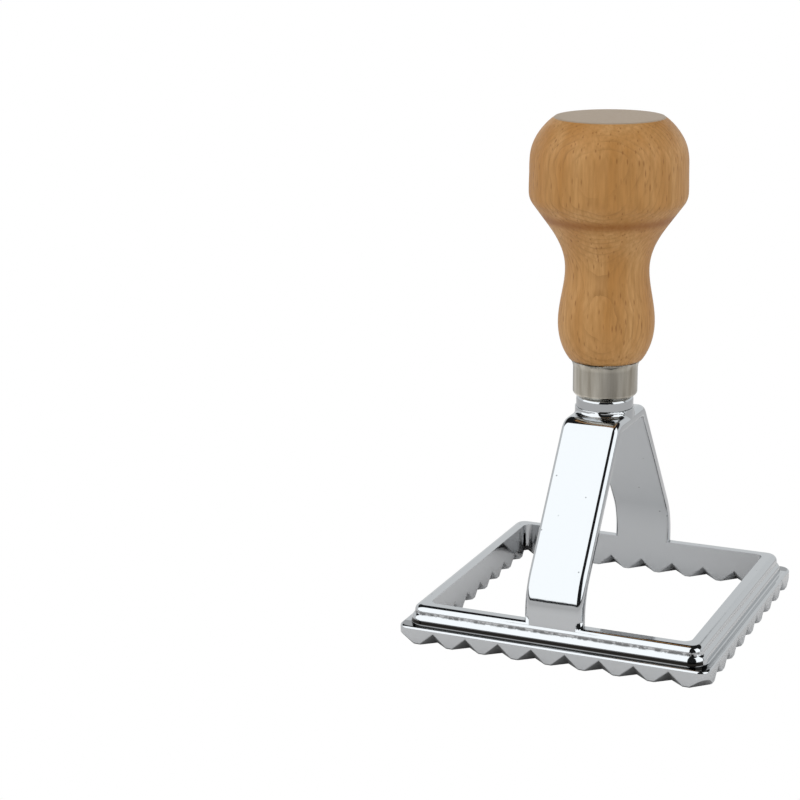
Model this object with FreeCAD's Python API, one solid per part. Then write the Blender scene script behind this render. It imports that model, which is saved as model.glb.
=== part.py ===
import FreeCAD, Part
import math
import os

# Square ravioli stamp with a toothed die-cast ring, two arms, a sheet ferrule and a turned beech handle.
# Millimetres, +Z up. The origin is on the surface that the teeth stand on, under the middle of the ring.
# The arms stand on the two sides of the ring that face -Y and +Y.

# Ring of the casting, from the outer face of its flange inwards
SIDE = 70.0
WALL = 5.5
FRAME_HEIGHT = 8.0
OPENING_CORNER = 1.8
FLANGE_HEIGHT = 4.0
FLANGE_CORNER = 2.5
FLANGE_ROUND = 0.6
LOWER_BEAD_INSET = 1.5
LOWER_BEAD_DRAFT = 9.0
LOWER_BEAD_TOP = 6.4
LOWER_BEAD_CORNER = 3.8
LOWER_BEAD_ROUND = 1.7
LOWER_BEAD_FOOT_ROUND = 0.3
UPPER_BEAD_INSET = 2.4
UPPER_BEAD_CORNER = 2.7
UPPER_BEAD_ROUND = 1.4

# Teeth, cut from the ring's foot as V grooves from both faces so that a folded band is left.
# The spacing is evened out, so that a whole number of teeth fills each side.
TOOTH_SPACING = 7.6
TOOTH_CORNER_INSET = 4.7
TOOTH_TIP = 0.8
OUTER_TOOTH_HEIGHT = 3.1
INNER_TOOTH_HEIGHT = 3.0
OUTER_GROOVE_DEPTH = 2.8
INNER_GROOVE_DEPTH = 3.5
OUTER_TOOTH_ROUND = 0.6
INNER_TOOTH_ROUND = 0.4

# The groove cuts run past the faces that they open by these shares of their own length and width.
CUT_OVERRUN = 0.12
CUT_REACH = 1.35

# Strap of the casting that makes both arms and the bridge
ARM_WIDTH = 13.2
ARM_THICKNESS = 2.8
KNEE_HEIGHT = 15.1
KNEE_ROUND = 16.0
BRIDGE_HEIGHT = 47.3
BRIDGE_SHOULDER = 2.75
BRIDGE_ROUND = 4.0
ARM_OUTER_EDGE_ROUND = 1.5
ARM_INNER_EDGE_ROUND = 0.8

# Boss on the bridge and the ribbed tang that is driven into the handle
BOSS_FOOT_INSET = 0.05
BOSS_HEIGHT = 3.9
BOSS_EDGE_ROUND = 1.0
BOSS_FOOT_WIDTH = 0.25
BOSS_FOOT_HEIGHT = 1.3
BOSS_FOOT_ROUND = 0.2
BOSS_SKIRT = 0.9
TANG_RADIUS = 3.2
TANG_LENGTH = 26.0
TANG_POINT = 1.2
RIB_COUNT = 6
RIB_HEIGHT = 0.35
RIB_WIDTH = 1.0
RIB_START = 3.0

# Ferrule of thin sheet
FERRULE_RADIUS = 7.1
FERRULE_SHEET = 0.45
FERRULE_LENGTH = 8.2
FERRULE_CURL = 1.0
FERRULE_HOLE_CLEARANCE = 0.25
FLARE_RADIUS = 3.2
FLARE_OUT = 0.6
SEAM_WIDTH = 0.25
SEAM_DEPTH = 0.2
SEAM_ANGLE = 150.0

# Handle, turned in beech
HANDLE_LENGTH = 52.9
SHOULDER_RADIUS = 8.05
BULGE_RADIUS = 10.55
BULGE_RISE = 8.2
WAIST_RADIUS = 9.25
WAIST_RISE = 17.8
CONE_LOW_RADIUS = 12.9
CONE_LOW_RISE = 29.6
CONE_HIGH_RADIUS = 16.35
CONE_HIGH_RISE = 34.3
KNOB_RADIUS = 17.15
KNOB_LOW_RISE = 37.0
KNOB_MID_RISE = 41.2
KNOB_HIGH_RADIUS = 16.6
KNOB_HIGH_RISE = 46.4
END_RADIUS = 11.7

# Clearances
SPIGOT_CLEARANCE = 0.05
SPIGOT_END_GAP = 0.3
BORE_CLEARANCE = 0.05
BORE_END_GAP = 1.0

# Two places closer together than this are the same.
NEAR = 1e-3

# Values that follow from the sizes above
OUTER = SIDE / 2
INNER = OUTER - WALL
TOOTHED_LENGTH = SIDE - 2 * TOOTH_CORNER_INSET
TOOTH_GAPS = round(TOOTHED_LENGTH / TOOTH_SPACING)
PITCH = TOOTHED_LENGTH / TOOTH_GAPS
BOSS_FOOT_RADIUS = ARM_WIDTH / 2 - BOSS_FOOT_INSET
BOSS_RADIUS = BOSS_FOOT_RADIUS - BOSS_FOOT_WIDTH
HALF_BRIDGE = BOSS_FOOT_RADIUS + BRIDGE_SHOULDER
BOSS_TOP = BRIDGE_HEIGHT + BOSS_HEIGHT
FERRULE_TOP = BOSS_TOP + FERRULE_LENGTH
HANDLE_TOP = FERRULE_TOP + HANDLE_LENGTH

UP = FreeCAD.Vector(0, 0, 1)
CENTRE = FreeCAD.Vector(0, 0, 0)


def v(x, y, z):
    return FreeCAD.Vector(x, y, z)


def square_block(half, corner, bottom, top):
    """A square block about the Z axis with its four upright edges rounded."""
    block = Part.makeBox(2 * half, 2 * half, top - bottom, v(-half, -half, bottom))
    upright = [e for e in block.Edges if abs(e.tangentAt(e.FirstParameter).z) > 0.9]
    return block.makeFillet(corner, upright)


def level_edges(block, level):
    """The edges of a block that lie flat at the given height."""
    return [e for e in block.Edges if abs(e.BoundBox.ZMin - level) < NEAR and e.BoundBox.ZLength < NEAR]


def drafted_block(half, corner, draft, bottom, top):
    """A square block with rounded corners that narrows by the draft angle on its way up."""
    shift = (top - bottom) * math.tan(math.radians(draft))
    low = square_block(half, corner, bottom, top)
    high = square_block(half - shift, corner - shift, bottom, top)
    wires = [Part.Wire(Part.__sortEdges__(level_edges(*pick))) for pick in ((low, bottom), (high, top))]
    return Part.makeLoft(wires, True, True)


def round_outline(block, level, radius):
    """Rounds the outline of a block at the given height."""
    return block.makeFillet(radius, level_edges(block, level))


def polyhedron(points, faces):
    """A closed solid from its corner points and the corner numbers of each face."""
    made = []
    for face in faces:
        loop = [points[n] for n in face]
        made.append(Part.Face(Part.makePolygon(loop + [loop[0]])))
    solid = Part.Solid(Part.Shell(made))
    if solid.Volume < 0:
        solid.reverse()
    return solid


def groove(apex, left, right, floor):
    """A V groove whose bottom line falls from the apex on a face to the floor point at the blade's foot."""
    high = apex + (apex - floor) * CUT_OVERRUN
    low = floor + (floor - apex) * CUT_OVERRUN
    return polyhedron(
        [high, low, low + (left - floor) * CUT_REACH, low + (right - floor) * CUT_REACH],
        [(0, 1, 2), (0, 1, 3), (1, 2, 3), (0, 2, 3)],
    )


def side_grooves():
    """The grooves of the side that faces -Y, from outside and from inside."""
    cuts = []
    first = -OUTER + TOOTH_CORNER_INSET
    half_width = (PITCH - TOOTH_TIP) / 2
    outer_floor = -OUTER + OUTER_GROOVE_DEPTH
    inner_floor = -INNER - INNER_GROOVE_DEPTH
    for n in range(TOOTH_GAPS):
        x = first + (n + 0.5) * PITCH
        cuts.append(
            groove(
                v(x, -OUTER, OUTER_TOOTH_HEIGHT),
                v(x - half_width, -OUTER, 0),
                v(x + half_width, -OUTER, 0),
                v(x, outer_floor, 0),
            )
        )
    for n in range(1, TOOTH_GAPS):
        x = first + n * PITCH
        cuts.append(
            groove(
                v(x, -INNER, INNER_TOOTH_HEIGHT),
                v(x - half_width, -INNER, 0),
                v(x + half_width, -INNER, 0),
                v(x, inner_floor, 0),
            )
        )
    return cuts


def corner_cuts():
    """The bevel across the outer corner at -X, -Y and the notch inside it, which carry the zigzag round."""
    tip = OUTER - TOOTH_CORNER_INSET
    tip_edge = tip + TOOTH_TIP / 2
    corner = v(-OUTER, -OUTER, OUTER_TOOTH_HEIGHT)
    one = v(-tip_edge, -OUTER, 0)
    two = v(-OUTER, -tip_edge, 0)
    middle = (corner + one + two) * (1 / 3)
    face = [middle + (p - middle) * 2 for p in (corner, one, two)]
    across = (face[1] - face[0]).cross(face[2] - face[0])
    across.normalize()
    if across.dot(v(-1, -1, 0)) < 0:
        across = across * -1
    bevel = Part.Face(Part.makePolygon(face + [face[0]])).extrude(across * WALL)

    shift = OPENING_CORNER / 2
    apex = v(-INNER + shift, -INNER + shift, INNER_TOOTH_HEIGHT)
    inner_tip = tip - (PITCH - TOOTH_TIP) / 2
    floor = INNER + INNER_GROOVE_DEPTH
    base = [
        v(-inner_tip, -INNER, 0),
        v(-tip, -floor, 0),
        v(-floor, -tip, 0),
        v(-INNER, -inner_tip, 0),
        v(-inner_tip, -inner_tip, 0),
    ]
    low = [apex + (p - apex) * (1 + CUT_OVERRUN) for p in base]
    count = len(low)
    faces = [(count, n, (n + 1) % count) for n in range(count)] + [tuple(range(count))]
    notch = polyhedron(low + [apex], faces)
    return [bevel, notch]


def inset(point):
    """How far a point lies inside the outer face of the ring."""
    return OUTER - max(abs(point.x), abs(point.y))


def outer_tooth_edges(wall):
    """The edges of the outer groove flanks, along the foot and on the outer face."""
    found = []
    for e in wall.Edges:
        ends = [inset(e.valueAt(e.FirstParameter)), inset(e.valueAt(e.LastParameter))]
        along_foot = e.BoundBox.ZMax < NEAR and min(ends) < NEAR and max(ends) < OUTER_GROOVE_DEPTH + NEAR
        rises = e.BoundBox.ZMin < NEAR and e.BoundBox.ZMax > OUTER_TOOTH_HEIGHT / 3
        if along_foot or rises and max(ends) < NEAR:
            found.append(e)
    return found


def inner_tooth_edges(wall):
    """The edges of the inner groove flanks, along the foot and on the inner face."""
    found = []
    for e in wall.Edges:
        ends = [inset(e.valueAt(e.FirstParameter)), inset(e.valueAt(e.LastParameter))]
        along_foot = e.BoundBox.ZMax < NEAR and max(ends) > WALL - NEAR
        rises = e.BoundBox.ZMin < NEAR and e.BoundBox.ZMax > INNER_TOOTH_HEIGHT / 3
        if along_foot or rises and min(ends) > WALL - NEAR and max(ends) < WALL + NEAR:
            found.append(e)
    return found


def toothed_wall():
    """A plain square wall, taller than the ring, with the folded teeth cut and rounded at its foot."""
    tall = 2 * FRAME_HEIGHT
    wall = square_block(OUTER, FLANGE_CORNER, 0, tall).cut(square_block(INNER, OPENING_CORNER, -1, tall + 1))
    turned = []
    for quarter in range(4):
        for cut in side_grooves() + corner_cuts():
            cut.rotate(CENTRE, UP, 90 * quarter)
            turned.append(cut)
    wall = wall.cut(turned)
    wall = wall.makeFillet(OUTER_TOOTH_ROUND, outer_tooth_edges(wall))
    return wall.makeFillet(INNER_TOOTH_ROUND, inner_tooth_edges(wall))


def ring():
    """The stepped square ring with its folded cutting teeth."""
    flange = round_outline(square_block(OUTER, FLANGE_CORNER, 0, FLANGE_HEIGHT), FLANGE_HEIGHT, FLANGE_ROUND)
    lower_bead = drafted_block(
        OUTER - LOWER_BEAD_INSET,
        LOWER_BEAD_CORNER,
        LOWER_BEAD_DRAFT,
        FLANGE_HEIGHT,
        LOWER_BEAD_TOP,
    )
    stepped = flange.fuse(round_outline(lower_bead, LOWER_BEAD_TOP, LOWER_BEAD_ROUND))
    foot = [e for e in level_edges(stepped, FLANGE_HEIGHT)
            if inset(e.CenterOfMass) > (FLANGE_ROUND + LOWER_BEAD_INSET) / 2]
    stepped = stepped.makeFillet(LOWER_BEAD_FOOT_ROUND, foot)
    upper_bead = square_block(OUTER - UPPER_BEAD_INSET, UPPER_BEAD_CORNER, FLANGE_HEIGHT, FRAME_HEIGHT)
    stepped = stepped.fuse(round_outline(upper_bead, FRAME_HEIGHT, UPPER_BEAD_ROUND))
    return stepped.common(toothed_wall())


def strap_block(foot_y, knee_z, top_y, top_z, knee_round, top_round, bottom_z):
    """A block across the ring with the side outline of the arms and bridge, its bends rounded."""
    outline = [
        v(0, -foot_y, bottom_z),
        v(0, -foot_y, knee_z),
        v(0, -top_y, top_z),
        v(0, top_y, top_z),
        v(0, foot_y, knee_z),
        v(0, foot_y, bottom_z),
    ]
    block = Part.Face(Part.makePolygon(outline + [outline[0]])).extrude(v(ARM_WIDTH, 0, 0))
    block.translate(v(-ARM_WIDTH / 2, 0, 0))
    for level, radius in ((knee_z, knee_round), (top_z, top_round)):
        bends = [e for e in level_edges(block, level) if e.BoundBox.XLength > ARM_WIDTH / 2]
        block = block.makeFillet(radius, bends)
    return block


def strap():
    """Both arms and the bridge as one bent strap of even thickness, flush with the opening at its feet."""
    foot = INNER + ARM_THICKNESS
    run = foot - HALF_BRIDGE
    rise = BRIDGE_HEIGHT - KNEE_HEIGHT
    slope = math.atan2(run, rise)
    # The inner corners lie where the offset lines of the arm, the foot and the bridge meet.
    knee_drop = ARM_THICKNESS * math.tan(slope / 2)
    bridge_shift = ARM_THICKNESS * math.tan((math.pi / 2 - slope) / 2)
    foot_low = FRAME_HEIGHT - UPPER_BEAD_ROUND
    outer = strap_block(foot, KNEE_HEIGHT, HALF_BRIDGE, BRIDGE_HEIGHT, KNEE_ROUND, BRIDGE_ROUND, foot_low)
    inner = strap_block(
        INNER,
        KNEE_HEIGHT - knee_drop,
        HALF_BRIDGE - bridge_shift,
        BRIDGE_HEIGHT - ARM_THICKNESS,
        KNEE_ROUND - ARM_THICKNESS,
        BRIDGE_ROUND - ARM_THICKNESS,
        foot_low - 1,
    )
    return round_strap(outer.cut(inner), outer, inner)


def round_strap(bent, outer, inner):
    """Rounds the long edges of the strap, more outside than inside."""
    def long_edges(shape, surface):
        found = []
        for e in shape.Edges:
            middle = e.valueAt((e.FirstParameter + e.LastParameter) / 2)
            at_side = abs(abs(middle.x) - ARM_WIDTH / 2) < NEAR and e.BoundBox.XLength < NEAR
            at_foot = e.BoundBox.ZLength < NEAR and middle.z < KNEE_HEIGHT
            flat = Part.Vertex(v(0, middle.y, middle.z))
            if at_side and not at_foot and flat.distToShape(surface)[0] < NEAR:
                found.append(e)
        return found
    bent = bent.makeFillet(ARM_OUTER_EDGE_ROUND, long_edges(bent, outer.Shells[0]))
    return bent.makeFillet(ARM_INNER_EDGE_ROUND, long_edges(bent, inner.Shells[0]))


def revolve(edges):
    """A solid of revolution about the Z axis from the edges of a half section in the XZ plane."""
    return Part.Face(Part.Wire(edges)).revolve(CENTRE, UP, 360)


def line(a, b):
    return Part.makeLine(a, b)


def arc(centre, radius, start, end):
    """An arc in the XZ plane between two angles in degrees, from +X towards +Z."""
    def at(angle):
        turn = math.radians(angle)
        return centre + v(radius * math.cos(turn), 0, radius * math.sin(turn))
    return Part.Arc(at(start), at((start + end) / 2), at(end)).toShape()


def boss_and_tang():
    """The round boss with its stepped foot, sunk halfway into the bridge, and the tang above it."""
    foot = BOSS_FOOT_RADIUS
    foot_top = BRIDGE_HEIGHT + BOSS_FOOT_HEIGHT
    inside = BRIDGE_HEIGHT - ARM_THICKNESS / 2
    tang_top = BOSS_TOP + TANG_LENGTH
    step = v(foot - BOSS_FOOT_ROUND, 0, foot_top - BOSS_FOOT_ROUND)
    rim = v(BOSS_RADIUS - BOSS_EDGE_ROUND, 0, BOSS_TOP - BOSS_EDGE_ROUND)
    solid = revolve([
        line(v(0, 0, inside), v(foot, 0, inside)),
        line(v(foot, 0, inside), v(foot, 0, step.z)),
        arc(step, BOSS_FOOT_ROUND, 0, 90),
        line(v(step.x, 0, foot_top), v(BOSS_RADIUS, 0, foot_top)),
        line(v(BOSS_RADIUS, 0, foot_top), v(BOSS_RADIUS, 0, rim.z)),
        arc(rim, BOSS_EDGE_ROUND, 0, 90),
        line(v(rim.x, 0, BOSS_TOP), v(TANG_RADIUS, 0, BOSS_TOP)),
        line(v(TANG_RADIUS, 0, BOSS_TOP), v(TANG_RADIUS, 0, tang_top - TANG_POINT)),
        line(v(TANG_RADIUS, 0, tang_top - TANG_POINT), v(TANG_RADIUS - TANG_POINT, 0, tang_top)),
        line(v(TANG_RADIUS - TANG_POINT, 0, tang_top), v(0, 0, tang_top)),
        line(v(0, 0, tang_top), v(0, 0, inside)),
    ])
    rib_length = TANG_LENGTH - RIB_START - TANG_POINT
    rib_low = v(0, 0, BOSS_TOP + RIB_START)
    rib_reach = Part.makeCylinder(TANG_RADIUS + RIB_HEIGHT, rib_length, rib_low)
    ribs = []
    for n in range(RIB_COUNT):
        rib = Part.makeBox(2 * TANG_RADIUS, RIB_WIDTH, rib_length, rib_low - v(0, RIB_WIDTH / 2, 0))
        rib = rib.common(rib_reach)
        rib.rotate(CENTRE, UP, 360 / RIB_COUNT * n)
        ribs.append(rib)
    return solid.fuse(ribs)


def arms_and_boss():
    """The strap with the boss on its bridge, and the skirt that rolls from one to the other."""
    body = strap().fuse(boss_and_tang())
    foot = []
    for e in body.Edges:
        middle = e.valueAt((e.FirstParameter + e.LastParameter) / 2)
        at_radius = abs(math.hypot(middle.x, middle.y) - BOSS_FOOT_RADIUS) < NEAR
        if at_radius and middle.z < BRIDGE_HEIGHT + NEAR:
            foot.append(e)
    return body.makeFillet(BOSS_SKIRT, foot)


def cutter_frame():
    """The whole die casting as one solid."""
    body = ring().fuse(arms_and_boss())
    return body.removeSplitter()


def ferrule():
    """A rolled sleeve with a turned-in bottom edge, a flared rim and a pressed seam."""
    hole = TANG_RADIUS + FERRULE_HOLE_CLEARANCE
    curl = v(FERRULE_RADIUS - FERRULE_CURL, 0, BOSS_TOP + FERRULE_CURL)
    inner_radius = FERRULE_RADIUS - FERRULE_SHEET
    turn = math.acos(1 - FLARE_OUT / FLARE_RADIUS)
    wide_turn = math.degrees(turn)
    # The flare ends with its inner edge level with the top of the ferrule.
    flare_low = FERRULE_TOP - (FLARE_RADIUS + FERRULE_SHEET) * math.sin(turn)
    flare = v(FERRULE_RADIUS + FLARE_RADIUS, 0, flare_low)

    def on_flare(radius):
        return flare + v(-radius * math.cos(turn), 0, radius * math.sin(turn))
    edges = [
        line(v(hole, 0, BOSS_TOP), v(curl.x, 0, BOSS_TOP)),
        arc(curl, FERRULE_CURL, -90, 0),
        line(v(FERRULE_RADIUS, 0, curl.z), v(FERRULE_RADIUS, 0, flare_low)),
        arc(flare, FLARE_RADIUS, 180, 180 - wide_turn),
        line(on_flare(FLARE_RADIUS), on_flare(FLARE_RADIUS + FERRULE_SHEET)),
        arc(flare, FLARE_RADIUS + FERRULE_SHEET, 180 - wide_turn, 180),
        line(v(inner_radius, 0, flare_low), v(inner_radius, 0, curl.z)),
        arc(curl, FERRULE_CURL - FERRULE_SHEET, 0, -90),
        line(v(curl.x, 0, BOSS_TOP + FERRULE_SHEET), v(hole, 0, BOSS_TOP + FERRULE_SHEET)),
        line(v(hole, 0, BOSS_TOP + FERRULE_SHEET), v(hole, 0, BOSS_TOP)),
    ]
    sleeve = revolve(edges)
    seam = Part.makeBox(
        SEAM_DEPTH + FLARE_OUT,
        SEAM_WIDTH,
        flare_low - curl.z,
        v(FERRULE_RADIUS - SEAM_DEPTH, -SEAM_WIDTH / 2, curl.z),
    )
    seam.rotate(CENTRE, UP, SEAM_ANGLE)
    return sleeve.cut(seam)


def smooth(points, start, end):
    """A smooth curve through points with given directions at its two ends."""
    curve = Part.BSplineCurve()
    curve.interpolate(Points=points, InitialTangent=start, FinalTangent=end)
    return curve.toShape()


def handle():
    """The turned handle: spigot, shoulder, lower bulge, waist, cone and knob with a faced-off end."""
    def at(radius, rise):
        return v(radius, 0, FERRULE_TOP + rise)
    spigot = FERRULE_RADIUS - FERRULE_SHEET - SPIGOT_CLEARANCE
    spigot_low = BOSS_TOP + FERRULE_SHEET + SPIGOT_END_GAP
    spigot_chamfer = FERRULE_CURL - FERRULE_SHEET
    cone_low = at(CONE_LOW_RADIUS, CONE_LOW_RISE)
    cone_high = at(CONE_HIGH_RADIUS, CONE_HIGH_RISE)
    cone_way = cone_high - cone_low
    cone_way.normalize()
    knob_low = at(KNOB_RADIUS, KNOB_LOW_RISE)
    end_edge = v(END_RADIUS, 0, HANDLE_TOP)
    stem = smooth(
        [at(SHOULDER_RADIUS, 0), at(BULGE_RADIUS, BULGE_RISE), at(WAIST_RADIUS, WAIST_RISE), cone_low],
        v(0.6, 0, 0.8),
        cone_way,
    )
    lip = smooth([cone_high, knob_low], cone_way, UP)
    crown = smooth(
        [knob_low, at(KNOB_RADIUS - 0.08, KNOB_MID_RISE), at(KNOB_HIGH_RADIUS, KNOB_HIGH_RISE), end_edge],
        UP,
        v(-0.83, 0, 0.56),
    )
    edges = [
        line(v(0, 0, spigot_low), v(spigot - spigot_chamfer, 0, spigot_low)),
        line(v(spigot - spigot_chamfer, 0, spigot_low), v(spigot, 0, spigot_low + spigot_chamfer)),
        line(v(spigot, 0, spigot_low + spigot_chamfer), v(spigot, 0, FERRULE_TOP)),
        line(v(spigot, 0, FERRULE_TOP), at(SHOULDER_RADIUS, 0)),
        stem,
        line(cone_low, cone_high),
        lip,
        crown,
        line(end_edge, v(0, 0, HANDLE_TOP)),
        line(v(0, 0, HANDLE_TOP), v(0, 0, spigot_low)),
    ]
    solid = revolve(edges)
    bore = Part.makeCylinder(
        TANG_RADIUS + RIB_HEIGHT + BORE_CLEARANCE,
        BOSS_TOP + TANG_LENGTH + BORE_END_GAP - spigot_low + 1,
        v(0, 0, spigot_low - 1),
    )
    return solid.cut(bore)


def main():
    os.makedirs("parts", exist_ok=True)
    for name, make in (("cutter_frame", cutter_frame), ("ferrule", ferrule), ("handle", handle)):
        shape = make()
        shape.exportStep("parts/" + name + ".step")
        print(name, shape.isValid(), len(shape.Solids), round(shape.Volume, 1), shape.BoundBox)


main()
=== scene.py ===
"""Looks of the ravioli stamp: plated casting, rolled ferrule and turned beech handle, in a light studio."""
import math

import bpy
from mathutils import Matrix, Vector


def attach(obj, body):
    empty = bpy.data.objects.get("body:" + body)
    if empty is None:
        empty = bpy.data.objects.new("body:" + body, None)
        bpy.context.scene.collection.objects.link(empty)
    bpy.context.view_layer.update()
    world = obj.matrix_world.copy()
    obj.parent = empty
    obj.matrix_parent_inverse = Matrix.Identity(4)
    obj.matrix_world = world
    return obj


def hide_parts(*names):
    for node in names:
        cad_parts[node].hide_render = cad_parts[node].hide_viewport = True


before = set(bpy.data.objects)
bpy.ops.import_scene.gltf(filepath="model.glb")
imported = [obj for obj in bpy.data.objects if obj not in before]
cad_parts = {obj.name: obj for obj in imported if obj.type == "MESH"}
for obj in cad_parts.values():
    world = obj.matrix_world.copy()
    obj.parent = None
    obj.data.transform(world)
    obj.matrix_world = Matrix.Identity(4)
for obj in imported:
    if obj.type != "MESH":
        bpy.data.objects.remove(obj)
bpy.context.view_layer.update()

MM = 0.001

# Camera, fitted to the ring's corners and the handle's outline in a square picture of PHOTO_PIXELS
CAMERA_PLACE_MM = (140.4, -419.2, 168.9)
CAMERA_FORWARD = (-0.3986, 0.8793, -0.2608)
CAMERA_RIGHT = (0.9117, 0.4108, -0.0084)
FOCAL_PIXELS = 2064.13
PHOTO_PIXELS = 800
SENSOR_MM = 36.0

# Merging and smoothing of the finished copies
DOUBLES_MM = 0.0005
FLAT_ANGLE = math.radians(0.2)
SHARP_ANGLE = math.radians(40)
FLAT_FACE_WEIGHT = 100

# Casting, in millimetres: heights over the teeth's standing face, and distances out from the ring's centre
TEETH_END = 3.25
LEDGE = 4.0
BEAD_GROOVE = 6.4
BEAD_GROOVE_HALF = 0.35
OUTER_MARKS_FROM = 31.5
GROOVE_STAIN_AND_REFLECTION_TO = 33.2

# Ferrule streaks, painted reflections of dark surroundings: places across the line of sight, in millimetres
# from the axis
ACROSS_SIGHT = (0.9117, 0.4108, 0.0)
NARROW_STREAK = -7.6
NARROW_STREAK_HALF = 0.9
BROAD_STREAK = 0.6
BROAD_STREAK_HALF = 5.0

# Growth rings of the blank: the pith runs behind the handle, and the rings lean out towards the knob
PITH_HEADING = math.radians(101.5)
PITH_DISTANCE_MM = 45.0
RING_LEAN = 0.095
RING_SPACING_MM = 0.8
RING_WAVER_MM = 1.6
CREASE_MM = 90.8
CREASE_HALF_MM = 1.9
END_GRAIN_MM = 112.1

# Studio as the metal mirrors it: headings turn from +X towards +Y, heights are the upward part of a direction
BACKDROP = 0.92
SOFTBOX = 1.9
UNLIT = 0.02
COOL_WHITE = (0.965, 0.99, 1.0, 1.0)
SLOT_TOP = 0.06
LEFT_BOX_HEADINGS = (math.radians(-168), math.radians(-95))
LEFT_BOX_LEAN = 0.363
LEFT_BOX_FOOT = -0.233
LEFT_BOX_BACK = -0.05
RIGHT_BOX_HEADINGS = (math.radians(-36), math.radians(16))
RIGHT_BOX_TOP = 0.86
BLACK_EDGE_END = math.radians(21)
BACKDROP_TOP = 0.45
CRISP = 0.01
SOFT = 0.03
HORIZON_SOFT = 0.005

# Light that falls on the object, and the floor's sizes in metres
EVEN_LIGHT = 0.75
CAMERA_WHITE = 1.0
FLOOR_SIZE = 8.0
FLOOR_DROP = 0.0002
LIT_POOL_FADE = (0.07, 0.15)


def hex_colour(text):
    """An sRGB hex colour as linear RGBA."""
    channels = [int(text[i:i + 2], 16) / 255 for i in (1, 3, 5)]
    linear = [c / 12.92 if c <= 0.04045 else ((c + 0.055) / 1.055) ** 2.4 for c in channels]
    return (*linear, 1.0)


def node(tree, kind, inputs=None, **settings):
    """Adds a node with its settings. An input takes a value, a socket, or a node for its first output."""
    made = tree.nodes.new(kind)
    for key, value in settings.items():
        setattr(made, key, value)
    for key, value in (inputs or {}).items():
        named = [s for s in made.inputs if s.name == key and s.enabled]
        target = named[0] if named else made.inputs[key]
        if isinstance(value, bpy.types.Node):
            value = next(s for s in value.outputs if s.enabled)
        if isinstance(value, bpy.types.NodeSocket):
            tree.links.new(value, target)
        else:
            target.default_value = value
    return made


def new_material(name):
    """A material and its empty node tree."""
    made = bpy.data.materials.new(name)
    made.use_nodes = True
    made.node_tree.nodes.clear()
    return made, made.node_tree


def per_mm(size):
    """The scale of a pattern whose grains are this many millimetres apart."""
    return 1 / (size * MM)


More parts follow.
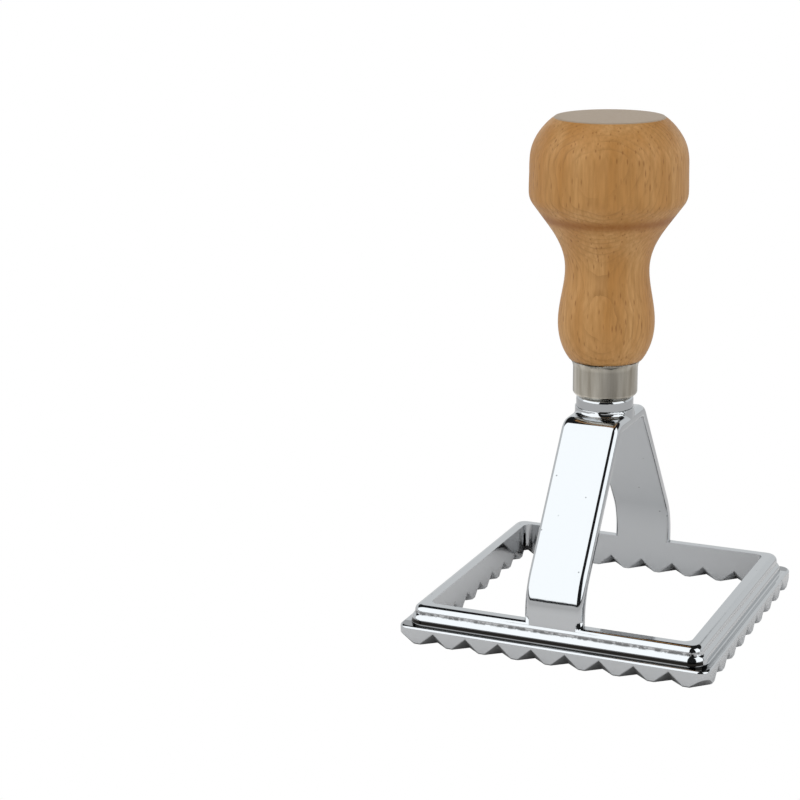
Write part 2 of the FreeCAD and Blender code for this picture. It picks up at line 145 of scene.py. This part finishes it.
def plated_casting():
    """Bright chrome on a zinc die casting: mirror-like, slightly wavy, with a few pits, and painted shade and
    painted reflections that darken its recesses.
    """
    made, tree = new_material("chrome_plated_zinc_casting")
    ways = node(tree, "ShaderNodeTexCoord").outputs
    place = ways["Object"]
    parts = node(tree, "ShaderNodeSeparateXYZ", {"Vector": place}).outputs
    height = parts["Z"]
    outward = node(tree, "ShaderNodeMath", {0: parts["Y"]}, operation="ABSOLUTE")
    outside = node(tree, "ShaderNodeMath", {0: outward, 1: OUTER_MARKS_FROM * MM}, operation="GREATER_THAN")

    wave = node(tree, "ShaderNodeTexNoise", {"Vector": place, "Scale": per_mm(5.0), "Detail": 1.0})
    ripple = node(tree, "ShaderNodeTexNoise", {"Vector": place, "Scale": per_mm(1.1), "Detail": 2.0})
    pit_field = node(tree, "ShaderNodeTexVoronoi", {"Vector": place, "Scale": per_mm(2.4), "Randomness": 1.0})
    pit = node(tree, "ShaderNodeMapRange", {
        "Value": pit_field, "From Min": 0.05, "From Max": 0.10, "To Min": 1.0, "To Max": 0.0})
    chosen = node(tree, "ShaderNodeMath", {0: pit_field.outputs["Color"], 1: 0.62}, operation="GREATER_THAN")
    pits = node(tree, "ShaderNodeMath", {0: pit, 1: chosen}, operation="MULTIPLY")

    # Corners and grooves go dark: painted shade, deeper where a point sees less open sky.
    open_sky = node(tree, "ShaderNodeAmbientOcclusion", {"Distance": 1.3 * MM}, samples=8, only_local=True)
    recess = node(tree, "ShaderNodeMapRange", {
        "Value": open_sky.outputs["AO"], "From Min": 0.30, "From Max": 0.72, "To Min": 0.85, "To Max": 0.0})

    # Along the sides that carry the arms, the ledge is drawn darker and the bead's foot above it nearly
    # black: a painted reflection of dark surroundings.
    ledge = node(tree, "ShaderNodeMapRange", {
        "Value": height, "From Min": (LEDGE - 0.05) * MM, "From Max": LEDGE * MM, "To Max": 0.48})
    foot = node(tree, "ShaderNodeMapRange", {
        "Value": height, "From Min": (LEDGE + 0.02) * MM, "From Max": (LEDGE + 0.25) * MM, "To Max": 0.52})
    clear = node(tree, "ShaderNodeMapRange", {
        "Value": height, "From Min": (LEDGE + 0.85) * MM, "From Max": (LEDGE + 1.15) * MM,
        "To Min": 1.0, "To Max": 0.0})
    dimmed = node(tree, "ShaderNodeMath", {0: ledge, 1: foot}, operation="ADD")
    bounded = node(tree, "ShaderNodeMath", {0: dimmed, 1: clear}, operation="MULTIPLY")
    painted_crease_dark = node(tree, "ShaderNodeMath", {0: bounded, 1: outside}, operation="MULTIPLY")

    # Painted shade in the grooves between the teeth: they are narrow, so their depth goes dark sooner than
    # that of wider corners.
    wide_sky = node(tree, "ShaderNodeAmbientOcclusion", {"Distance": 3.5 * MM}, samples=8, only_local=True)
    groove = node(tree, "ShaderNodeMapRange", {
        "Value": wide_sky.outputs["AO"], "From Min": 0.45, "From Max": 0.90, "To Min": 0.97, "To Max": 0.0})
    # The tooth flanks mirror the shade right under the ring, which the even studio light doesn't show.
    facing = node(tree, "ShaderNodeSeparateXYZ", {"Vector": ways["Normal"]}).outputs
    downward = node(tree, "ShaderNodeMapRange", {
        "Value": facing["Z"], "From Min": -0.25, "From Max": -0.45, "To Max": 0.72})
    below = node(tree, "ShaderNodeMath", {0: downward, 1: outside}, operation="MULTIPLY")
    shaded = node(tree, "ShaderNodeMath", {0: below, 1: groove}, operation="MAXIMUM")
    on_teeth = node(tree, "ShaderNodeMath", {0: height, 1: TEETH_END * MM}, operation="LESS_THAN")
    flank = node(tree, "ShaderNodeMath", {0: shaded, 1: on_teeth}, operation="MULTIPLY")

    # The groove between the two beads is darker in patches: partly a stain, partly a painted reflection of
    # dark surroundings.
    at_groove = node(tree, "ShaderNodeMath", {
        0: height, 1: BEAD_GROOVE * MM, 2: BEAD_GROOVE_HALF * MM}, operation="COMPARE")
    inside = node(tree, "ShaderNodeMath", {0: outward, 1: GROOVE_STAIN_AND_REFLECTION_TO * MM}, operation="LESS_THAN")
    patches = node(tree, "ShaderNodeMapRange", {
        "Value": ripple, "From Min": 0.38, "From Max": 0.56, "To Max": 0.62})
    stain_and_reflection = patches
    for limit in (at_groove, outside, inside):
        stain_and_reflection = node(tree, "ShaderNodeMath", {0: stain_and_reflection, 1: limit}, operation="MULTIPLY")

    # The painted shade, the painted reflections and the groove's stain all pull the plating towards one dark
    # colour.
    dark = recess
    for mark in (stain_and_reflection, painted_crease_dark, flank):
        dark = node(tree, "ShaderNodeMath", {0: dark, 1: mark}, operation="MAXIMUM")
    plating = node(tree, "ShaderNodeMix", {
        "Factor": pits, "A": hex_colour("#BCBEC0"), "B": hex_colour("#7C7E80")}, data_type="RGBA")
    colour = node(tree, "ShaderNodeMix", {
        "Factor": dark, "A": plating, "B": hex_colour("#2A2826")}, data_type="RGBA")
    rough = node(tree, "ShaderNodeMapRange", {
        "Value": ripple, "From Min": 0.3, "From Max": 0.7, "To Min": 0.045, "To Max": 0.075})
    waved = node(tree, "ShaderNodeBump", {"Height": wave, "Distance": 0.022 * MM, "Strength": 1.0})
    rippled = node(tree, "ShaderNodeBump", {
        "Height": ripple, "Normal": waved, "Distance": 0.003 * MM, "Strength": 1.0})
    skin = node(tree, "ShaderNodeBsdfPrincipled", {
        "Base Color": colour, "Roughness": rough, "Normal": rippled, "Metallic": 1.0})
    node(tree, "ShaderNodeOutputMaterial", {"Surface": skin})
    return made


def plated_sheet():
    """Nickel on rolled steel sheet: warmer and softer than the chrome, with upright marks and two streaks of
    painted reflection.
    """
    made, tree = new_material("nickel_plated_rolled_sheet")
    place = node(tree, "ShaderNodeTexCoord").outputs["Object"]
    upright = node(tree, "ShaderNodeMapping", {"Vector": place, "Scale": (1.0, 1.0, 0.08)})
    # Real drawing marks are finer. They are drawn half a millimetre apart so that they show.
    marks = node(tree, "ShaderNodeTexNoise", {"Vector": upright, "Scale": per_mm(0.5), "Detail": 3.0})
    cloud = node(tree, "ShaderNodeTexNoise", {"Vector": upright, "Scale": per_mm(2.6), "Detail": 1.0})
    both = node(tree, "ShaderNodeMath", {0: marks, 1: 0.25, 2: cloud}, operation="MULTIPLY_ADD")
    shade = node(tree, "ShaderNodeMapRange", {"Value": both, "From Min": 0.45, "From Max": 0.80})
    surface_tone = node(tree, "ShaderNodeMix", {
        "Factor": shade, "A": hex_colour("#938C7F"), "B": hex_colour("#D2CDC2")}, data_type="RGBA")

    # Two upright streaks are drawn darker as painted reflections: a narrow one near the left edge and a broad
    # one down the middle.
    across = node(tree, "ShaderNodeVectorMath", {0: place, 1: ACROSS_SIGHT}, operation="DOT_PRODUCT")
    painted_reflections = []
    for middle, half, depth in (
            (NARROW_STREAK, NARROW_STREAK_HALF, 1.0), (BROAD_STREAK, BROAD_STREAK_HALF, 0.55)):
        offset = node(tree, "ShaderNodeMath", {0: across, 1: middle * MM}, operation="SUBTRACT")
        gap = node(tree, "ShaderNodeMath", {0: offset}, operation="ABSOLUTE")
        painted_reflections.append(node(tree, "ShaderNodeMapRange", {
            "Value": gap, "From Max": half * MM, "To Min": depth, "To Max": 0.0},
            interpolation_type="SMOOTHSTEP"))
    painted_reflection = node(tree, "ShaderNodeMath", {0: painted_reflections[0], 1: painted_reflections[1]}, operation="MAXIMUM")
    colour = node(tree, "ShaderNodeMix", {
        "Factor": painted_reflection, "A": surface_tone, "B": hex_colour("#45413A")}, data_type="RGBA")
    rough = node(tree, "ShaderNodeMapRange", {
        "Value": marks, "From Min": 0.3, "From Max": 0.7, "To Min": 0.12, "To Max": 0.22})
    bump = node(tree, "ShaderNodeBump", {"Height": marks, "Distance": 0.0025 * MM, "Strength": 1.0})
    skin = node(tree, "ShaderNodeBsdfPrincipled", {
        "Base Color": colour, "Roughness": rough, "Normal": bump, "Metallic": 1.0})
    node(tree, "ShaderNodeOutputMaterial", {"Surface": skin})
    return made


def lacquered_beech():
    """Turned beech under satin lacquer: ovals on the knob, arches on the neck and short dark ray flecks."""
    made, tree = new_material("lacquered_turned_beech")
    place = node(tree, "ShaderNodeTexCoord").outputs["Object"]
    parts = node(tree, "ShaderNodeSeparateXYZ", {"Vector": place}).outputs
    height = parts["Z"]

    # Growth rings lie around the pith, and each darkens towards its outer side.
    warp = node(tree, "ShaderNodeTexNoise", {"Vector": place, "Scale": per_mm(9.0), "Detail": 2.0})
    waver = node(tree, "ShaderNodeMath", {0: warp, 1: RING_WAVER_MM * MM}, operation="MULTIPLY")
    distance = PITH_DISTANCE_MM * MM
    pith = (math.cos(PITH_HEADING) * distance, math.sin(PITH_HEADING) * distance, 0.0)
    level = node(tree, "ShaderNodeCombineXYZ", {"X": parts["X"], "Y": parts["Y"]})
    from_pith = node(tree, "ShaderNodeVectorMath", {0: level, 1: pith}, operation="DISTANCE")
    lean = node(tree, "ShaderNodeMath", {0: height, 1: RING_LEAN, 2: from_pith}, operation="MULTIPLY_ADD")
    depth = node(tree, "ShaderNodeMath", {0: lean, 1: waver}, operation="ADD")
    turns = node(tree, "ShaderNodeMath", {0: depth, 1: per_mm(RING_SPACING_MM)}, operation="MULTIPLY")
    phase = node(tree, "ShaderNodeMath", {0: turns}, operation="FRACT")
    ring = node(tree, "ShaderNodeMapRange", {"Value": phase, "From Min": 0.45, "From Max": 1.0})
    late = node(tree, "ShaderNodeMath", {0: ring, 1: 2.2}, operation="POWER")
    patch = node(tree, "ShaderNodeTexNoise", {"Vector": place, "Scale": per_mm(6.0), "Detail": 3.0})
    shown = node(tree, "ShaderNodeMapRange", {
        "Value": patch, "From Min": 0.35, "From Max": 0.65, "To Min": 0.05, "To Max": 0.6})
    rings = node(tree, "ShaderNodeMath", {0: late, 1: shown}, operation="MULTIPLY")

    # Fibres and flecks run up the handle, leaning a little. They are drawn coarser than real, to show.
    along = node(tree, "ShaderNodeMapping", {
        "Vector": place, "Rotation": (0.0, math.radians(5), 0.0), "Scale": (1.0, 1.0, 0.10)})
    short = node(tree, "ShaderNodeMapping", {
        "Vector": place, "Rotation": (0.0, math.radians(8), 0.0), "Scale": (1.0, 1.0, 0.22)})
    fibre = node(tree, "ShaderNodeTexNoise", {"Vector": along, "Scale": per_mm(0.6), "Detail": 4.0})
    flecks = []
    for way, spacing, core, edge, strength, share in (
            (along, 1.5, 0.10, 0.20, 1.0, 0.8), (short, 0.75, 0.12, 0.30, 0.9, 0.45)):
        cells = node(tree, "ShaderNodeTexVoronoi", {"Vector": way, "Scale": per_mm(spacing)}, feature="F1")
        spot = node(tree, "ShaderNodeMapRange", {
            "Value": cells, "From Min": core, "From Max": edge, "To Min": strength, "To Max": 0.0})
        chosen = node(tree, "ShaderNodeMath", {0: cells.outputs["Color"], 1: share}, operation="GREATER_THAN")
        flecks.append(node(tree, "ShaderNodeMath", {0: spot, 1: chosen}, operation="MULTIPLY"))
    fleck = node(tree, "ShaderNodeMath", {0: flecks[0], 1: flecks[1]}, operation="MAXIMUM")
    faded = node(tree, "ShaderNodeMath", {0: fleck, 1: 0.62}, operation="MULTIPLY")

    # A darker band in the crease under the knob: painted shade under the knob's overhang.
    above = node(tree, "ShaderNodeMath", {0: height, 1: CREASE_MM * MM}, operation="SUBTRACT")
    apart = node(tree, "ShaderNodeMath", {0: above}, operation="ABSOLUTE")
    painted_crease_dark = node(tree, "ShaderNodeMapRange", {
        "Value": apart, "From Max": CREASE_HALF_MM * MM, "To Min": 0.75, "To Max": 0.0},
        interpolation_type="SMOOTHSTEP")
    end = node(tree, "ShaderNodeMath", {0: height, 1: END_GRAIN_MM * MM}, operation="GREATER_THAN")

    tone = node(tree, "ShaderNodeTexNoise", {"Vector": along, "Scale": per_mm(5.0), "Detail": 2.0})
    wide = node(tree, "ShaderNodeMapRange", {"Value": tone, "From Min": 0.35, "From Max": 0.65})
    fine = node(tree, "ShaderNodeMapRange", {
        "Value": fibre, "From Min": 0.35, "From Max": 0.70, "To Max": 0.55})
    colour = hex_colour("#B37F42")
    for amount, tint in (
            (wide, "#C3945C"), (fine, "#9C6F38"), (rings, "#8E6434"),
            (faded, "#7C4D22"), (painted_crease_dark, "#8C5419"), (end, "#AC9A85")):
        colour = node(tree, "ShaderNodeMix", {
            "Factor": amount, "A": colour, "B": hex_colour(tint)}, data_type="RGBA")
    rough = node(tree, "ShaderNodeMapRange", {
        "Value": fibre, "From Min": 0.3, "From Max": 0.7, "To Min": 0.42, "To Max": 0.52})
    bump = node(tree, "ShaderNodeBump", {"Height": fibre, "Distance": 0.02 * MM, "Strength": 1.0})
    skin = node(tree, "ShaderNodeBsdfPrincipled", {
        "Base Color": colour, "Roughness": rough, "Normal": bump, "Specular IOR Level": 0.3})
    node(tree, "ShaderNodeOutputMaterial", {"Surface": skin})
    return made


def set_material(piece, material):
    piece.data.materials.clear()
    piece.data.materials.append(material)


def smooth_copy(name):
    """A merged copy of a CAD node, shaded smooth between its sharp edges, that stands for the node."""
    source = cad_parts[name]
    bpy.ops.object.select_all(action="DESELECT")
    copy = source.copy()
    copy.data = source.data.copy()
    copy.name = name + "_finished"
    bpy.context.scene.collection.objects.link(copy)
    bpy.context.view_layer.objects.active = copy
    copy.select_set(True)
    bpy.ops.object.mode_set(mode="EDIT")
    bpy.ops.mesh.select_all(action="SELECT")
    bpy.ops.mesh.remove_doubles(threshold=DOUBLES_MM * MM)
    # Each flat face becomes one polygon, so its whole area holds its normals straight.
    bpy.ops.mesh.dissolve_limited(angle_limit=FLAT_ANGLE)
    bpy.ops.object.mode_set(mode="OBJECT")
    bpy.ops.object.shade_smooth_by_angle(angle=SHARP_ANGLE)
    flat = copy.modifiers.new("flat_faces_stay_flat", "WEIGHTED_NORMAL")
    flat.mode = "FACE_AREA"
    flat.weight = FLAT_FACE_WEIGHT
    flat.keep_sharp = True
    bpy.ops.object.modifier_apply(modifier=flat.name)
    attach(copy, "root")
    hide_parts(name)
    return copy


def make_camera():
    forward = Vector(CAMERA_FORWARD).normalized()
    right = Vector(CAMERA_RIGHT)
    right = (right - forward * right.dot(forward)).normalized()
    up = right.cross(forward)
    data = bpy.data.cameras.new("camera")
    data.sensor_width = SENSOR_MM
    data.lens = SENSOR_MM * FOCAL_PIXELS / PHOTO_PIXELS
    camera = bpy.data.objects.new("camera", data)
    turn = Matrix((right, up, -forward)).transposed()
    camera.matrix_world = Matrix.Translation(Vector(CAMERA_PLACE_MM) * MM) @ turn.to_4x4()
    bpy.context.scene.collection.objects.link(camera)
    bpy.context.scene.camera = camera


def make_floor():
    """A pale floor that the camera sees as white, and the metal with the object's soft shadow on it."""
    bpy.ops.mesh.primitive_plane_add(size=FLOOR_SIZE, location=(0, 0, -FLOOR_DROP))
    floor = bpy.context.object
    floor.name = "floor"
    made, tree = new_material("pale_floor")
    path = node(tree, "ShaderNodeLightPath").outputs
    # The floor is drawn brighter around the object than farther out: a painted pool of light, which the metal
    # mirrors.
    place = node(tree, "ShaderNodeTexCoord").outputs["Object"]
    away = node(tree, "ShaderNodeVectorMath", {0: place}, operation="LENGTH")
    farther = node(tree, "ShaderNodeMapRange", {
        "Value": away, "From Min": LIT_POOL_FADE[0], "From Max": LIT_POOL_FADE[1]})
    surface_tone = node(tree, "ShaderNodeMix", {
        "Factor": farther, "A": hex_colour("#FFFFFF"), "B": hex_colour("#E2E2E2")}, data_type="RGBA")
    matt = node(tree, "ShaderNodeBsdfDiffuse", {"Color": surface_tone})
    white = node(tree, "ShaderNodeEmission", {"Color": (1, 1, 1, 1), "Strength": CAMERA_WHITE})
    mixed = node(tree, "ShaderNodeMixShader", {"Fac": path["Is Camera Ray"], 1: matt, 2: white})
    node(tree, "ShaderNodeOutputMaterial", {"Surface": mixed})
    set_material(floor, made)


def make_world():
    """The camera sees white, matt surfaces an even light, and the metal two softboxes in a dark room."""
    world = bpy.data.worlds.new("studio")
    bpy.context.scene.world = world
    world.use_nodes = True
    tree = world.node_tree
    tree.nodes.clear()
    way = node(tree, "ShaderNodeTexCoord").outputs["Generated"]
    x, y, z = node(tree, "ShaderNodeSeparateXYZ", {"Vector": way}).outputs
    heading = node(tree, "ShaderNodeMath", {0: y, 1: x}, operation="ARCTAN2")

    # The left softbox leans over the object, so its back edge moves behind it on the way up.
    leaning = node(tree, "ShaderNodeMath", {
        0: z, 1: LEFT_BOX_LEAN, 2: LEFT_BOX_FOOT}, operation="MULTIPLY_ADD")
    back_edge = node(tree, "ShaderNodeMath", {0: leaning, 1: LEFT_BOX_BACK}, operation="MINIMUM")
    behind = node(tree, "ShaderNodeMath", {0: y, 1: back_edge}, operation="SUBTRACT")
    side_slope = math.tan(LEFT_BOX_HEADINGS[1] + math.pi / 2)
    beside = node(tree, "ShaderNodeMath", {0: y, 1: side_slope, 2: x}, operation="MULTIPLY_ADD")

    # Each edge in the room turns from 0 to 1 where its value passes the limit.
    edges = {
        "slot_top": (z, SLOT_TOP, CRISP),
        "left_box_back": (behind, 0.0, CRISP),
        "left_box_side": (beside, 0.0, CRISP),
        "left_box_start": (heading, LEFT_BOX_HEADINGS[0], CRISP),
        "right_box_start": (heading, RIGHT_BOX_HEADINGS[0], CRISP),
        "right_box_end": (heading, RIGHT_BOX_HEADINGS[1], CRISP),
        "right_box_top": (z, RIGHT_BOX_TOP, CRISP),
        "black_edge_end": (heading, BLACK_EDGE_END, CRISP),
        "backdrop_top": (z, BACKDROP_TOP, SOFT),
        "horizon": (z, 0.0, HORIZON_SOFT),
    }
    past = {}
    for name, (value, limit, soft) in edges.items():
        past[name] = node(tree, "ShaderNodeMapRange", {
            "Value": value, "From Min": limit - soft, "From Max": limit + soft},
            interpolation_type="SMOOTHSTEP")
    short_of = {}
    for name in ("left_box_start", "right_box_top", "backdrop_top", "horizon"):
        short_of[name] = node(tree, "ShaderNodeMath", {0: 1.0, 1: past[name]}, operation="SUBTRACT")

    off_left_box = node(tree, "ShaderNodeMath", {
        0: past["left_box_back"], 1: past["left_box_side"]}, operation="MAXIMUM")
    within_left = node(tree, "ShaderNodeMath", {0: 1.0, 1: off_left_box}, operation="SUBTRACT")
    left_box = node(tree, "ShaderNodeMath", {0: past["slot_top"], 1: within_left}, operation="MULTIPLY")
    within_right = node(tree, "ShaderNodeMath", {
        0: past["right_box_start"], 1: past["right_box_end"]}, operation="SUBTRACT", use_clamp=True)
    right_side = node(tree, "ShaderNodeMath", {0: past["slot_top"], 1: within_right}, operation="MULTIPLY")
    right_box = node(tree, "ShaderNodeMath", {
        0: right_side, 1: short_of["right_box_top"]}, operation="MULTIPLY")
    boxes = node(tree, "ShaderNodeMath", {0: left_box, 1: right_box}, operation="MAXIMUM")

    grey = short_of["horizon"]
    for side in (past["black_edge_end"], short_of["left_box_start"]):
        wall = node(tree, "ShaderNodeMath", {0: side, 1: short_of["backdrop_top"]}, operation="MULTIPLY")
        grey = node(tree, "ShaderNodeMath", {0: grey, 1: wall}, operation="MAXIMUM")
    dimmed = node(tree, "ShaderNodeMapRange", {"Value": grey, "To Min": UNLIT, "To Max": BACKDROP})
    lit = node(tree, "ShaderNodeMix", {"Factor": boxes, "A": dimmed, "B": SOFTBOX})

    room = node(tree, "ShaderNodeBackground", {"Color": COOL_WHITE, "Strength": lit})
    even = node(tree, "ShaderNodeBackground", {"Color": (1, 1, 1, 1), "Strength": EVEN_LIGHT})
    white = node(tree, "ShaderNodeBackground", {"Color": (1, 1, 1, 1), "Strength": CAMERA_WHITE})
    path = node(tree, "ShaderNodeLightPath").outputs
    mirrored = node(tree, "ShaderNodeMixShader", {"Fac": path["Is Glossy Ray"], 1: even, 2: room})
    seen = node(tree, "ShaderNodeMixShader", {"Fac": path["Is Camera Ray"], 1: mirrored, 2: white})
    node(tree, "ShaderNodeOutputWorld", {"Surface": seen})


def softbox(name, place, aim, width, height, radiance):
    """A rectangular area light, with its power worked out from the radiance its face should show."""
    data = bpy.data.lights.new(name, "AREA")
    data.shape = "RECTANGLE"
    data.size = width
    data.size_y = height
    # A flat lamp's power is its radiance times pi times its area.
    data.energy = radiance * math.pi * width * height
    lamp = bpy.data.objects.new(name, data)
    lamp.location = place
    lamp.rotation_euler = (Vector(aim) - Vector(place)).to_track_quat("-Z", "Y").to_euler()
    # The world draws the softboxes that the metal mirrors.
    lamp.visible_glossy = False
    bpy.context.scene.collection.objects.link(lamp)


materials = {
    "cutter_frame": (plated_casting(), "plated_casting"),
    "ferrule": (plated_sheet(), "plated_sheet"),
    "handle": (lacquered_beech(), "beech"),
}
for name, (material, slot) in materials.items():
    set_material(smooth_copy(name), material)

make_camera()
make_floor()
make_world()
softbox("left_softbox", place=(-0.7, -0.9, 0.9), aim=(0.0, 0.0, 0.05), width=1.0, height=1.2, radiance=1.2)
softbox("right_softbox", place=(1.2, -0.2, 0.6), aim=(0.0, 0.0, 0.1), width=0.8, height=0.8, radiance=1.15)
bpy.context.scene.view_settings.view_transform = "Standard"
